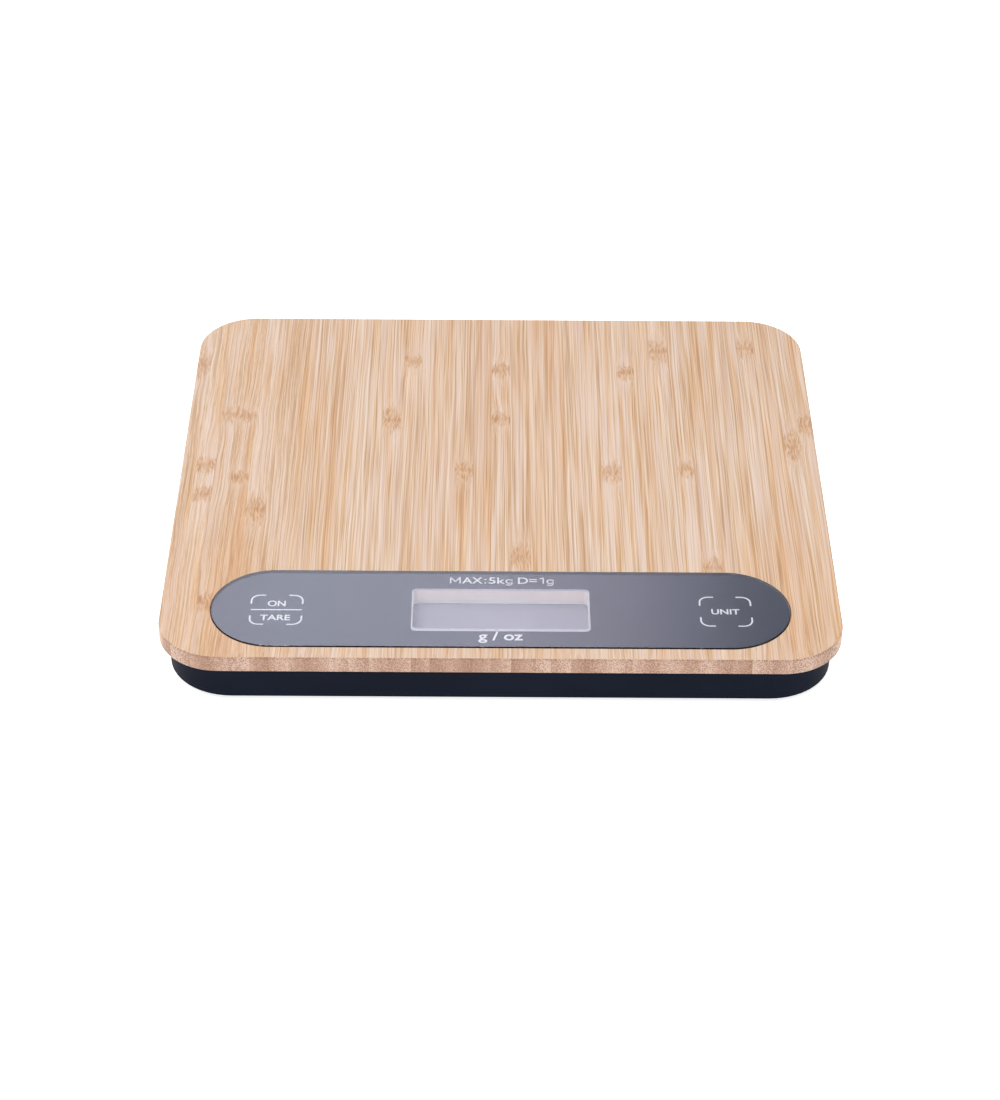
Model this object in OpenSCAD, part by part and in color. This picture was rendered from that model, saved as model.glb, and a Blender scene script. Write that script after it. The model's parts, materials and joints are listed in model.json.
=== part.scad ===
// Slim electronic kitchen scale: a bamboo platform with a glass touch panel, on a plastic base
// that stands on four load-sensing feet. Millimetres, +Z up, the display at the front (-Y).
// The origin is on the table, under the middle of the platform.

/* [Platform] */
// Width of the bamboo platform, left to right
platform_w = 200; // [196:1:230]
// Depth of the bamboo platform, front to back
platform_d = 186; // [183:1:215]
// Thickness of the bamboo platform
platform_t = 5; // [5:0.5:7]
// Radius of the platform's corners in plan
platform_r = 18.5; // [15:0.5:24]
// Radius that rounds the platform's upper edge
platform_edge = 0.7; // [0.4:0.1:1.2]

/* [Touch panel] */
// Width of the glass panel, end to end
panel_w = 170; // [160:1:180]
// Depth of the glass panel, and twice the radius of its ends
panel_d = 36.6; // [35:0.2:38]
// Thickness of the glass
panel_t = 1.2; // [1:0.1:1.3]
// Bamboo left in front of the panel
panel_margin = 5.5; // [4:0.5:8]
// How far the glass stands above the bamboo
panel_proud = 0.3; // [0.1:0.1:0.5]
// Gap between the glass and the wall of its pocket
panel_gap = 0.35; // [0.2:0.05:0.5]
// Distance of each touch key from the middle of the panel
key_x = 66; // [62:1:66]

/* [Display] */
// Width of the clear window
window_w = 52.5; // [48:0.5:52.5]
// Depth of the clear window
window_d = 20.5; // [18:0.5:21]
// Radius of the window's corners
window_r = 1.6; // [1:0.1:2.5]

/* [Base] */
// How far the base stands back under the platform's edge
base_inset = 2.6; // [1.5:0.1:3]
// Height of the base, from its underside to the platform
base_h = 11.3; // [10.7:0.1:12]
// Radius of the base's corners in plan
base_r = 19.2; // [16:0.1:21]
// Thickness of the base's side walls
wall = 1.8; // [1.2:0.1:2.2]
// Thickness of the base's floor
floor_t = 1.6; // [1.4:0.1:2]
// Radius that rounds the base's lower edge
base_edge = 0.5; // [0.4:0.1:1.4]

/* [Feet] */
// Distance of each foot from the middle, left to right
foot_x = 74; // [72:0.5:75]
// Distance of each foot from the middle, front to back
foot_y = 67; // [65:0.5:68]
// Diameter of a foot cap
foot_d = 25.4; // [22:0.2:26]
// How far the feet stand out under the base
foot_drop = 1.8; // [1.4:0.1:2.5]
// Travel of a foot at full load
foot_travel = 0.3; // [0.1:0.05:0.4]

/* [Battery] */
// Diameter of the coin cell
cell_d = 20; // [20:20]
// Thickness of the coin cell
cell_t = 3.2; // [3.2:3.2]
// Width of the battery door
door_w = 35.8; // [32:0.2:36]

/* [Hidden] */
$fn = 64;

CORNERS = [["front_left", -1, -1], ["front_right", 1, -1], ["rear_left", -1, 1], ["rear_right", 1, 1]];
SIDES = [["left", -1], ["right", 1]];
SINGLE_NODES = [
    "bamboo_platform", "display_glass", "panel_adhesive", "lcd_gasket",
    "lcd_polarizer", "lcd_front_glass", "lcd_back_glass", "lcd_reflector", "lcd_frame", "zebra_connector",
    "main_board", "controller_blob", "adc_chip", "clock_crystal", "board_capacitors",
    "base_shell", "battery_door", "door_latch", "door_foam", "coin_cell",
    "battery_contact_negative", "battery_contact_positive", "battery_wires", "rating_label",
    "case_screws", "board_screws", "holder_screws"
];
SIDE_PARTS = ["touch_pad", "touch_wire", "wire_header"];
CORNER_PARTS = ["foot_pad", "foot_cap", "load_cell", "strain_gauge", "cell_holder", "cell_wires"];

// Overlap of a cutting tool past the surface that it cuts
cut = 0.5;
// Heights of the main layers above the table
base_z = foot_drop;
floor_z = base_z + floor_t;
platform_z = base_z + base_h;
top_z = platform_z + platform_t;
// Ribs and bosses are rooted this high, inside the base's floor
root_z = base_z + 0.5;
// The glass lies on an adhesive film in a pocket of the platform
adhesive_t = 0.3;
film_gap = 0.02;
glass_z = top_z + panel_proud - panel_t;
pocket_z = glass_z - adhesive_t;
panel_y = -platform_d / 2 + panel_margin + panel_d / 2;
window_y = panel_y;
// The hole under the window leaves a ledge, which is wider at the front
ledge_side = 0.4;
ledge_front = 1.15;
ledge_rear = 0.3;
hole_w = window_w - 2 * ledge_side;
hole_d = window_d - ledge_front - ledge_rear;
hole_y = window_y + (ledge_front - ledge_rear) / 2;
// Touch keys: round pads under the glass, whose wires run in grooves under the platform
key_y = panel_y - 1.8;
pad_r = 6;
pad_t = 0.8;
groove_w = 3;
groove_h = 2;
wire_r = 0.45;
key_wire_z = platform_z + 1;
header_pitch = 6.3;
header_x = 34;
header_h = 2.4;
header_y = key_y + header_pitch;
// Display stack, from the polarizer down to the circuit board
board_top = floor_z + 4.2;
board_t = 1.2;
board_w = 76;
board_d = 38;
board_y = -platform_d / 2 + 24.5;
lcd_w = 54;
lcd_d = 22;
lcd_contact = 3.5;
lcd_glass_t = 1.1;
film_t = 0.2;
lcd_z = platform_z - 1.45;
frame_w = 60;
frame_top = platform_z - 0.05;
frame_front = 13;
frame_rear = 17;
zebra_y = window_y + lcd_d / 2 + 1.8;
// Screws: two sizes of wood screw and one for the circuit board
case_screw_in = 9.5;
case_screw_at = [
    [-44, -platform_d / 2 + case_screw_in], [44, -platform_d / 2 + case_screw_in],
    [-44, platform_d / 2 - case_screw_in], [44, platform_d / 2 - case_screw_in],
    [-90, -30], [90, -30], [-90, 30], [90, 30]
];
boss_r = 4;
case_screw_r = 1.3;
case_head_r = 2.6;
case_head_z = base_z + 3.4;
board_screw_at = [[-34, -15.5], [34, -15.5], [-34, 15.5], [34, 15.5]];
board_boss_r = 2.4;
board_screw_r = 0.9;
holder_screw_r = 1;
screw_bite = 3;
// Load cells: a stamped plate between a collar of the base and a holder under the platform
plate_w = 28;
plate_t = 1.6;
collar_w = 32;
collar_z = floor_z + 3.6;
plate_top = collar_z + plate_t;
gauge_reach = 9;
gauge_w = 5.6;
holder_hole = 22.5;
ear_reach = 18.5;
ear_side = 9;
ear_r = 3;
lead_r = 0.4;
lead_lane = 50;
lead_z = plate_top + 0.5;
// Foot: a cap held up by its flange, with a rubber pad glued into it
flange_r = foot_d / 2 + 1.5;
flange_t = 1;
flange_lift = 0.25;
foot_gap = 0.4;
rim_z = base_z - 0.9;
pad_inset = 2.2;
plunger_r = 4;
// Stubs on the flange, which stop the foot against the rim of its load cell at full load
stop_r = 1.2;
stop_reach = flange_r - 1.9;
stop_play = 0.05;
// Ribs on the base's floor: where they run, and how thick they are
rib_x = 32;
rib_y = 46;
rib_t = 1.2;
// Rating label on the base's underside
label_w = 56;
label_d = 26;
label_y = -28;
// Battery compartment: the cell lies in a ring under a ceiling, behind a hinged door
cell_y = 17;
cell_z = floor_z + 1;
door_gap = 0.3;
door_front = 3.3;
hinge_y = 32.6;
hinge_z = base_z + 1.4;
hinge_r = 1.4;
pin_r = 0.8;
pin_len = 1.6;
opening_w = door_w + 2 * door_gap;
opening_front = door_front - door_gap;
opening_rear = hinge_y + hinge_r + 0.35;
box_wall = 2;
ceiling_z = cell_z + cell_t + 0.6;
ceiling_t = 1.2;
ring_t = 1.2;
contact_t = 0.3;
latch_w = 10;
slit_w = 0.8;
slit_d = 7;
groove_pitch = 1.6;

// ---- Shapes that repeat ----

// A rectangle with round corners, centred
module rounded(w, d, r) {
    square([w - 2 * r, d], center = true);
    square([w, d - 2 * r], center = true);
    for (x = [-1, 1], y = [-1, 1]) {
        translate([x * (w / 2 - r), y * (d / 2 - r)]) circle(r);
    }
}

// A plate of that outline, standing on height z
module plate(w, d, r, z, t) {
    translate([0, 0, z]) linear_extrude(t) rounded(w, d, r);
}

// A strip with two half-round ends, centred
module pill(w, d) {
    square([w - d, d], center = true);
    for (x = [-1, 1]) translate([x * (w - d) / 2, 0]) circle(d / 2);
}

// A section from -w/2 to w/2 whose lower or upper corners are rounded
module soft_section(w, t, low, high) {
    translate([-w / 2, low]) square([w, t - low - high]);
    if (low > 0) {
        translate([-w / 2 + low, 0]) square([w - 2 * low, low + 0.01]);
        for (x = [-1, 1]) translate([x * (w / 2 - low), low]) circle(low);
    }
    if (high > 0) {
        translate([-w / 2 + high, t - high - 0.01]) square([w - 2 * high, high + 0.01]);
        for (x = [-1, 1]) translate([x * (w / 2 - high), t - high]) circle(high);
    }
}

// A plate with round corners whose lower or upper edge is rounded as well
module soft_plate(w, d, r, t, low = 0, high = 0) {
    translate([0, d / 2 - r, 0]) rotate([90, 0, 0]) {
        linear_extrude(d - 2 * r) soft_section(w, t, low, high);
    }
    translate([-w / 2 + r, 0, 0]) rotate([90, 0, 90]) {
        linear_extrude(w - 2 * r) soft_section(d, t, low, high);
    }
    for (x = [-1, 1], y = [-1, 1]) {
        translate([x * (w / 2 - r), y * (d / 2 - r), 0]) rotate_extrude() intersection() {
            soft_section(2 * r, t, low, high);
            square([r, t]);
        }
    }
}

// A round rod between two heights
module rod(r, z0, z1) {
    translate([0, 0, z0]) cylinder(r = r, h = z1 - z0);
}

// A block centred in plan, between two heights
module block(w, d, z0, z1) {
    translate([-w / 2, -d / 2, z0]) cube([w, d, z1 - z0]);
}

// A wood or board screw whose head is below or above its shank, with a cross recess in the head
module screw(shank_r, head_r, head_z, head_t, tip_z) {
    up = tip_z > head_z;
    face_z = up ? head_z : head_z + head_t;
    difference() {
        union() {
            rod(head_r, head_z, head_z + head_t);
            rod(shank_r, min(head_z + 0.1, tip_z), max(head_z + head_t - 0.1, tip_z));
        }
        block(head_r * 1.2, 0.6, face_z - 0.7, face_z + 0.7);
        block(0.6, head_r * 1.2, face_z - 0.7, face_z + 0.7);
    }
}

// A wire along straight runs with ball joints at its corners
module wire(points, r = wire_r) {
    for (i = [0:len(points) - 2]) {
        run = points[i + 1] - points[i];
        len_xy = norm([run.x, run.y]);
        translate(points[i]) rotate([0, atan2(len_xy, run.z), atan2(run.y, run.x)]) {
            cylinder(r = r, h = norm(run), $fn = 16);
        }
    }
    for (i = [1:1:len(points) - 2]) translate(points[i]) sphere(r, $fn = 16);
}

// Puts a part that is drawn for the origin under one corner's foot
module at_foot(corner) {
    translate([corner[1] * foot_x, corner[2] * foot_y, 0]) children();
}

// ---- Platform and touch panel ----

module bamboo_platform() {
    color("burlywood") difference() {
        translate([0, 0, platform_z]) {
            soft_plate(platform_w, platform_d, platform_r, platform_t, 0.3, platform_edge);
        }
        translate([0, panel_y, pocket_z]) {
            linear_extrude(platform_t) pill(panel_w + 2 * panel_gap, panel_d + 2 * panel_gap);
        }
        translate([0, hole_y, 0]) plate(hole_w, hole_d, window_r, platform_z - cut, platform_t);
        for (x = [-key_x, key_x]) {
            translate([x, key_y, 0]) rod(pad_r + 0.5, platform_z - cut, pocket_z + cut);
            translate([x * 0.75, key_y, 0]) {
                block(key_x / 2, groove_w, platform_z - cut, platform_z + groove_h);
            }
        }
        for (at = case_screw_at) {
            translate(at) rod(case_screw_r + 0.05, platform_z - cut, platform_z + screw_bite + 0.3);
        }
        for (corner = CORNERS) at_foot(corner) for (at = ear_at(corner)) {
            translate(at) rod(holder_screw_r + 0.05, platform_z - cut, platform_z + screw_bite + 0.3);
        }
    }
}

module display_glass() {
    color("dimgray") translate([0, panel_y, glass_z]) linear_extrude(panel_t) pill(panel_w, panel_d);
}

module panel_adhesive() {
    color("black") translate([0, panel_y, pocket_z]) linear_extrude(adhesive_t - film_gap) difference() {
        pill(panel_w - 0.1, panel_d - 0.1);
        translate([0, window_y - panel_y]) rounded(window_w, window_d, window_r);
    }
}

module lcd_gasket() {
    color("gainsboro") translate([0, 0, pocket_z]) linear_extrude(adhesive_t - film_gap) difference() {
        translate([0, window_y]) rounded(window_w - 0.04, window_d - 0.04, window_r);
        translate([0, hole_y]) rounded(hole_w, hole_d, window_r);
    }
}

module touch_pad(x) {
    color("goldenrod") translate([x, key_y, 0]) difference() {
        rod(pad_r, pocket_z - pad_t, pocket_z);
        rod(0.5, pocket_z - pad_t - cut, pocket_z - pad_t + 0.2);
    }
}

module touch_wire(x) {
    color("white") wire([
        [x, key_y, pocket_z - pad_t],
        [x, key_y, key_wire_z],
        [sign(x) * header_x, key_y, key_wire_z],
        [sign(x) * header_x, key_y, board_top + header_h]
    ]);
}

// ---- Display ----

module lcd_polarizer() {
    color("lightsteelblue") translate([0, window_y, 0]) plate(lcd_w - 1.8, lcd_d - 1.2, 0.4, lcd_z, film_t);
}

module lcd_front_glass() {
    color("lightblue") translate([0, window_y + lcd_contact / 2, 0]) {
        block(lcd_w, lcd_d + lcd_contact, lcd_z - lcd_glass_t, lcd_z);
    }
}

module lcd_back_glass() {
    color("lightblue") translate([0, window_y, 0]) {
        block(lcd_w, lcd_d, lcd_z - 2 * lcd_glass_t, lcd_z - lcd_glass_t);
    }
}

module lcd_reflector() {
    color("silver") translate([0, window_y, 0]) {
        plate(lcd_w - 1.8, lcd_d - 1.2, 0.4, lcd_z - 2 * lcd_glass_t - film_t, film_t);
    }
}

// The frame presses the display and its rubber connector on to the circuit board
module lcd_frame() {
    seat_z = lcd_z - 2 * lcd_glass_t - film_t;
    depth = frame_front + frame_rear;
    mid_y = window_y + (frame_rear - frame_front) / 2;
    color("white") difference() {
        translate([0, mid_y, 0]) plate(frame_w, depth, 1.5, board_top, frame_top - board_top);
        translate([0, window_y + lcd_contact / 2, 0]) {
            block(lcd_w + 0.3, lcd_d + lcd_contact + 0.3, lcd_z - lcd_glass_t, lcd_z);
        }
        translate([0, window_y, 0]) block(lcd_w + 0.3, lcd_d + 0.3, seat_z, lcd_z - 0.1);
        translate([0, window_y, 0]) block(lcd_w - 1.4, lcd_d - 0.8, lcd_z - 0.1, lcd_z + film_t + 0.1);
        translate([0, hole_y, 0]) plate(hole_w, hole_d, window_r, lcd_z, platform_z - lcd_z);
        translate([0, zebra_y, 0]) block(lcd_w - 3.6, 2.2, board_top - cut, lcd_z - lcd_glass_t + 0.1);
        translate([0, window_y - 1, 0]) block(lcd_w - 4, lcd_d - 6, board_top - cut, board_top + 0.6);
    }
}

module zebra_connector() {
    color("pink") translate([0, zebra_y, 0]) block(lcd_w - 4, 1.8, board_top, lcd_z - lcd_glass_t);
}

// ---- Circuit board ----

module main_board() {
    color("darkgreen") translate([0, board_y, 0]) difference() {
        plate(board_w, board_d, 1.5, board_top - board_t, board_t);
        for (at = board_screw_at) {
            translate(at) rod(board_screw_r + 0.3, board_top - board_t - cut, board_top + cut);
        }
    }
}

module controller_blob() {
    blob_r = 4.5;
    blob_h = 1.3;
    ball_r = (blob_r * blob_r + blob_h * blob_h) / (2 * blob_h);
    low_z = board_top - board_t;
    color("black") translate([-14, board_y, 0]) intersection() {
        translate([0, 0, low_z - blob_h + ball_r]) sphere(ball_r, $fn = 96);
        rod(blob_r + 1, low_z - blob_h - 1, low_z);
    }
}

module adc_chip() {
    low_z = board_top - board_t;
    color("black") translate([10, board_y, 0]) {
        block(9.9, 3.9, low_z - 1.5, low_z - 0.1);
        for (i = [0:7], side = [-1, 1]) {
            translate([(i - 3.5) * 1.27, side * 2.45, 0]) block(0.4, 1.2, low_z - 0.8, low_z);
        }
    }
}

module clock_crystal() {
    low_z = board_top - board_t;
    color("silver") translate([-2, board_y + 8, low_z - 1]) rotate([0, 90, 0]) cylinder(r = 1, h = 6);
}

module board_capacitors() {
    low_z = board_top - board_t;
    color("tan") for (i = [0:5]) {
        translate([-26 + i * 4, board_y - 10, 0]) block(1.6, 0.8, low_z - 0.8, low_z);
        translate([4 + i * 4, board_y + 10, 0]) block(0.8, 1.6, low_z - 0.8, low_z);
    }
}

// A row of three sockets: touch key, front load cell and rear load cell
module wire_header(side) {
    color("ivory") translate([side * header_x, header_y, 0]) difference() {
        block(5, 3 * header_pitch - 0.9, board_top, board_top + header_h);
        for (k = [-1:1]) {
            translate([side * 2, k * header_pitch, 0]) block(2, 4, lead_z - lead_r, board_top + header_h + cut);
        }
    }
}

// ---- Base ----

// What stands on the base's floor, inside its walls
module base_inside() {
    inner_w = platform_w - 2 * base_inset - 2 * wall + 0.2;
    inner_d = platform_d - 2 * base_inset - 2 * wall + 0.2;
    rib_z = floor_z + 2;
    for (y = [-rib_y, rib_y]) translate([0, y, 0]) block(inner_w, rib_t, root_z, rib_z);
    for (x = [-rib_x, rib_x]) translate([x, (inner_d / 2 - rib_y) / 2, 0]) {
        block(rib_t, inner_d / 2 + rib_y, root_z, rib_z);
    }
    for (at = case_screw_at) translate(at) rod(boss_r, root_z, platform_z);
    for (at = board_screw_at) {
        translate([at.x, board_y + at.y, 0]) rod(board_boss_r, root_z, board_top - board_t);
    }
    for (corner = CORNERS) at_foot(corner) {
        plate(collar_w, collar_w, 2, root_z, collar_z - root_z);
    }
    box_d = opening_rear - opening_front + 2 * box_wall;
    translate([0, (opening_front + opening_rear) / 2, 0]) {
        block(opening_w + 2 * box_wall, box_d, root_z, ceiling_z + ceiling_t);
    }
}

// The compartment's hollow, with the ring that holds the cell left standing
module battery_hollow() {
    difference() {
        translate([-opening_w / 2, opening_front, base_z - cut]) {
            cube([opening_w, opening_rear - opening_front, ceiling_z - base_z + cut]);
        }
        difference() {
            translate([0, cell_y, 0]) rod(cell_d / 2 + 0.4 + ring_t, cell_z + 0.4, ceiling_z + 0.1);
            translate([0, cell_y, 0]) rod(cell_d / 2 + 0.4, cell_z, ceiling_z + 0.2);
            translate([0, cell_y, 0]) block(8, cell_d + 8, cell_z, ceiling_z + 0.2);
        }
    }
}

module base_shell() {
    outer_w = platform_w - 2 * base_inset;
    outer_d = platform_d - 2 * base_inset;
    color("#1d212b") difference() {
        union() {
            difference() {
                translate([0, 0, base_z]) soft_plate(outer_w, outer_d, base_r, base_h, base_edge, 0);
                plate(outer_w - 2 * wall, outer_d - 2 * wall, base_r - wall, floor_z, base_h);
            }
            base_inside();
        }
        for (corner = CORNERS) at_foot(corner) {
            rod(foot_d / 2 + foot_gap, base_z - cut, floor_z + cut);
            rod(flange_r + 0.5, floor_z, collar_z + cut);
        }
        for (at = case_screw_at) translate(at) {
            rod(case_head_r + 0.3, base_z - cut, case_head_z + 1.6);
            rod(case_screw_r + 0.1, base_z, platform_z + cut);
        }
        for (at = board_screw_at) {
            translate([at.x, board_y + at.y, 0]) rod(board_screw_r + 0.05, floor_z + 0.4, board_top);
        }
        battery_hollow();
        translate([-door_w / 2 - 3, hinge_y, hinge_z]) rotate([0, 90, 0]) {
            cylinder(r = pin_r + 0.06, h = door_w + 6);
        }
        // Pocket for the latch's tooth, thumb recess and label recess
        translate([0, opening_front - 0.5, 0]) block(latch_w + 1, 1.6, floor_z, floor_z + 2.4);
        translate([0, opening_front - 1, 0]) rod(6, base_z - cut, base_z + 0.7);
        translate([0, label_y, 0]) plate(label_w + 1, label_d + 1, 1.5, base_z - cut, cut + 0.25);
        // Slots for the tags of the battery contacts
        for (y = [-1, 1]) translate([0, cell_y + y * (cell_d / 2 + 2), 0]) {
            block(3.6, 1, ceiling_z - cut, ceiling_z + ceiling_t + cut);
        }
    }
}

module rating_label() {
    color("silver") translate([0, label_y, 0]) plate(label_w, label_d, 1.2, base_z + 0.13, 0.12);
}

// ---- Battery ----

module battery_door() {
    plate_len = hinge_y - door_front;
    color("#1d212b") difference() {
        union() {
            translate([-door_w / 2, door_front, base_z]) cube([door_w, plate_len, floor_t]);
            translate([-door_w / 2, hinge_y, hinge_z]) rotate([0, 90, 0]) {
                cylinder(r = hinge_r, h = door_w);
            }
            translate([-door_w / 2 - pin_len, hinge_y, hinge_z]) rotate([0, 90, 0]) {
                cylinder(r = pin_r, h = door_w + 2 * pin_len);
            }
        }
        // Grip grooves beside the latch, and the slits that free its tab
        for (i = [0:3]) {
            translate([0, door_front + 4 + i * groove_pitch, 0]) block(latch_w, 0.7, base_z - cut, base_z + 0.3);
        }
        for (x = [-1, 1]) {
            translate([x * (latch_w / 2 + 1), door_front + 3, 0]) {
                block(slit_w, slit_d, base_z - cut, floor_z + cut);
            }
        }
    }
}

// The springy hook that holds the door shut, moulded on its front edge
module door_latch() {
    color("#1d212b") translate([0, door_front, 0]) {
        translate([0, 0.9, 0]) block(latch_w, 1, floor_z, floor_z + 2);
        translate([0, -0.2, 0]) block(latch_w, 1.2, floor_z + 0.1, floor_z + 1.1);
    }
}

module door_foam() {
    color("gray") translate([0, cell_y, 0]) block(12, 12, floor_z, floor_z + 0.9);
}

module coin_cell() {
    color("silver") translate([0, cell_y, 0]) {
        rod(cell_d / 2, cell_z, cell_z + cell_t - 0.5);
        rod(cell_d / 2 - 1.1, cell_z + cell_t - 0.6, cell_z + cell_t);
    }
}

module battery_contact_negative() {
    color("gold") translate([0, cell_y, 0]) {
        translate([0, 4.6, 0]) block(5, 15, ceiling_z - contact_t, ceiling_z);
        rod(1.5, cell_z + cell_t, ceiling_z - contact_t + 0.05);
        translate([0, cell_d / 2 + 2, 0]) block(3, contact_t, ceiling_z - 0.1, ceiling_z + ceiling_t + 1.5);
    }
}

module battery_contact_positive() {
    color("gold") translate([0, cell_y - cell_d / 2, 0]) {
        translate([0, -contact_t / 2 - 0.01, 0]) block(5, contact_t, cell_z + 0.5, ceiling_z - contact_t);
        translate([0, -1.2, 0]) block(5, 2.4, ceiling_z - contact_t - 0.05, ceiling_z);
        translate([0, -2, 0]) block(3, contact_t, ceiling_z - 0.1, ceiling_z + ceiling_t + 1.5);
    }
}

module battery_wires() {
    tag_z = ceiling_z + ceiling_t + 1;
    front_y = cell_y - cell_d / 2 - 2;
    rear_y = cell_y + cell_d / 2 + 2;
    end_y = board_y + board_d / 2 - 1.6;
    low_z = board_top + wire_r;
    drop_y = -40;
    color("red") wire([[0, front_y - 0.2, tag_z], [0, drop_y, tag_z], [0, drop_y, low_z], [0, end_y, low_z]]);
    color("black") wire([
        [0, rear_y + 0.62, tag_z], [4, rear_y + 0.62, tag_z],
        [4, drop_y, tag_z], [4, drop_y, low_z], [4, end_y, low_z]
    ]);
}

// ---- Feet and load cells, drawn for a foot at the origin ----

// Where a holder is screwed up into the platform: both points lie towards the scale's middle
function ear_at(corner) = [
    [-corner[1] * ear_reach, -corner[2] * ear_side],
    [0, -corner[2] * ear_reach]
];

module foot_pad() {
    color("#303236") rod(foot_d / 2 - pad_inset, 0, rim_z + 0.8);
}

module foot_cap() {
    flange_z = floor_z + flange_lift;
    color("#26282d") difference() {
        union() {
            rod(foot_d / 2, rim_z, flange_z + flange_t);
            rod(flange_r, flange_z, flange_z + flange_t);
            rod(plunger_r, flange_z, collar_z - 0.02);
            for (turn = [0:90:270]) rotate(turn) translate([stop_reach, 0, 0]) {
                rod(stop_r, flange_z, collar_z - foot_travel - stop_play);
            }
        }
        rod(foot_d / 2 - pad_inset + 0.1, rim_z - cut, rim_z + 0.8);
    }
}

module load_cell(corner) {
    color("silver") translate([0, 0, collar_z]) linear_extrude(plate_t) difference() {
        rounded(plate_w, plate_w, 2);
        difference() {
            rounded(21, 19, 1);
            rounded(15, 13, 1);
            translate([-corner[1] * gauge_reach, 0]) square([8, 9], center = true);
        }
    }
}

module strain_gauge(corner) {
    color("whitesmoke") translate([-corner[1] * gauge_reach, 0, 0]) plate(gauge_w, 6, 1, plate_top, 0.7);
}

module cell_holder(corner) {
    color("#2c2e33") difference() {
        union() {
            plate(collar_w, collar_w, 2, plate_top, platform_z - plate_top);
            for (at = ear_at(corner)) {
                translate(at) rod(ear_r, plate_top, platform_z);
                translate(at * 0.85) block(2 * ear_r, 2 * ear_r, plate_top, platform_z);
            }
        }
        plate(holder_hole, holder_hole, 1, plate_top - cut, platform_z);
        translate([-corner[1] * 14, 0, 0]) block(8, 7, plate_top - cut, plate_top + 1.8);
        for (at = ear_at(corner)) {
            translate(at) rod(holder_screw_r + 0.1, plate_top - cut, platform_z + cut);
        }
    }
}

// Three leads from the strain gauge to the header, side by side
module cell_wires(corner) {
    pitch = 1;
    gauge_x = corner[1] * (foot_x - gauge_reach - gauge_w / 2);
    lane_x = corner[1] * lead_lane;
    start_y = corner[2] * foot_y;
    end_y = header_y + (corner[2] < 0 ? 0 : header_pitch);
    turn = corner[1] * sign(end_y - start_y);
    color("crimson") for (step = [-pitch, 0, pitch]) {
        wire([
            [gauge_x, start_y + step, lead_z],
            [lane_x + turn * step, start_y + step, lead_z],
            [lane_x + turn * step, end_y + step, lead_z],
            [corner[1] * (header_x + 1.2), end_y + step, lead_z]
        ], lead_r);
    }
}

// ---- Fasteners ----

module case_screws() {
    color("silver") for (at = case_screw_at) {
        translate(at) screw(case_screw_r, case_head_r, case_head_z, 1.6, platform_z + screw_bite);
    }
}

module board_screws() {
    color("silver") for (at = board_screw_at) {
        translate([at.x, board_y + at.y, 0]) screw(board_screw_r, 2, board_top, 1.3, floor_z + 0.6);
    }
}

module holder_screws() {
    color("silver") for (corner = CORNERS) at_foot(corner) for (at = ear_at(corner)) {
        translate(at) screw(holder_screw_r, 2.2, plate_top - 1.3, 1.3, platform_z + screw_bite);
    }
}

// ---- Nodes ----

bamboo_platform();
display_glass();
panel_adhesive();
lcd_gasket();
lcd_polarizer();
lcd_front_glass();
lcd_back_glass();
lcd_reflector();
lcd_frame();
zebra_connector();
main_board();
controller_blob();
adc_chip();
clock_crystal();
board_capacitors();
base_shell();
battery_door();
door_latch();
door_foam();
coin_cell();
battery_contact_negative();
battery_contact_positive();
battery_wires();
rating_label();
case_screws();
board_screws();
holder_screws();
for (side = SIDES) {
    touch_pad(side[1] * key_x);
    touch_wire(side[1] * key_x);
    wire_header(side[1]);
}
for (corner = CORNERS) {
    at_foot(corner) foot_pad();
    at_foot(corner) foot_cap();
    at_foot(corner) load_cell(corner);
    at_foot(corner) strain_gauge(corner);
    at_foot(corner) cell_holder(corner);
    cell_wires(corner);
}
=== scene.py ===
"""The looks of a slim bamboo kitchen scale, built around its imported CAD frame. Metres, +Z up."""

import json
import math

import bpy
from mathutils import Matrix, Vector


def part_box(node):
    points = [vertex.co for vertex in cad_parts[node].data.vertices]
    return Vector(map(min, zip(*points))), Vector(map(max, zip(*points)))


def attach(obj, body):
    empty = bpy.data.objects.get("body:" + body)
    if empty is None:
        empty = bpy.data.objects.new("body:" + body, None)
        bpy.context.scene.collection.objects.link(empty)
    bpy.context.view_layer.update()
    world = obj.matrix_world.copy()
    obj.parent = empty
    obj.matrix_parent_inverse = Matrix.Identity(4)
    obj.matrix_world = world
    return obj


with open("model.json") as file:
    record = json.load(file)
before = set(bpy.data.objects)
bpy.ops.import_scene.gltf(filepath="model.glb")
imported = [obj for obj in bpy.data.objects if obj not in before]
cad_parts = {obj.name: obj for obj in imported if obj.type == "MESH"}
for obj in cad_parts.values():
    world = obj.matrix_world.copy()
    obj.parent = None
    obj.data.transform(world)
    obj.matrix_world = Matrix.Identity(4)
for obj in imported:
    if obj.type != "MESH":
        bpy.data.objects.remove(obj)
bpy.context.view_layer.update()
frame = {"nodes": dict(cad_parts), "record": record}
MM = 0.001

PLATFORM_LOW, PLATFORM_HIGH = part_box("bamboo_platform")
GLASS_LOW, GLASS_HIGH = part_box("display_glass")


def box_mm(node):
    """The middle of a CAD node's box and half of its size, in millimetres."""
    low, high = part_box(node)
    return (low + high) / 2 / MM, (high - low) / 2 / MM


# ---- Camera, lights and floor ----

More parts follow.
